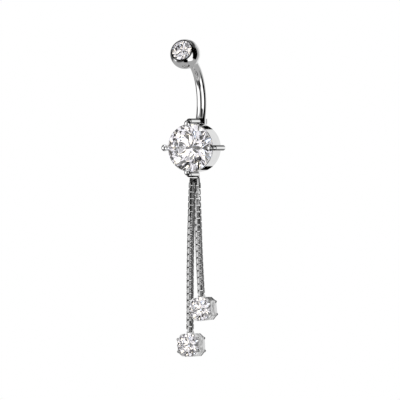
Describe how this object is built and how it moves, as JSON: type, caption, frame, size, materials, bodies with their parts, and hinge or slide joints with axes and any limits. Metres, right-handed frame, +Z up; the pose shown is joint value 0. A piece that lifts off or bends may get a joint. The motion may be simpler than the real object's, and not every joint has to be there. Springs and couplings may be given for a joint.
{
  "type": "navel ring",
  "caption": "Curved navel barbell with a stone-set screw ball, a large round stone in four bead-tipped prongs, and two fine box chains ending in small stone drops.",
  "frame": {"origin": "rearmost point of the bar's bend, on the bar's centre line, where the piercing sits", "axes": "+Z up along the hanging chains, the stones face -Y, +X is the viewer's right as seen from the front"},
  "size_m": [0.0098, 0.011, 0.0529],
  "materials": {
    "polished_steel": "mirror polished",
    "chain_steel": "bright drawn strip",
    "setting_steel": "soft polished",
    "clear_stone": "faceted, clear"
  },
  "bodies": {
    "bar": {"barbell": "polished_steel", "main_stone": "clear_stone", "chain_long": "chain_steel", "chain_short": "chain_steel", "drop_setting_long": "setting_steel", "drop_setting_short": "setting_steel", "drop_stone_long": "clear_stone", "drop_stone_short": "clear_stone"},
    "ball": {"top_ball": "polished_steel", "ball_gem": "clear_stone"}
  },
  "joints": [
    {"name": "ball_off", "type": "slide", "parent": "bar", "child": "ball", "axis": [0, -0.9272, 0.3746], "range_m": [0, 0.006]}
  ]
}
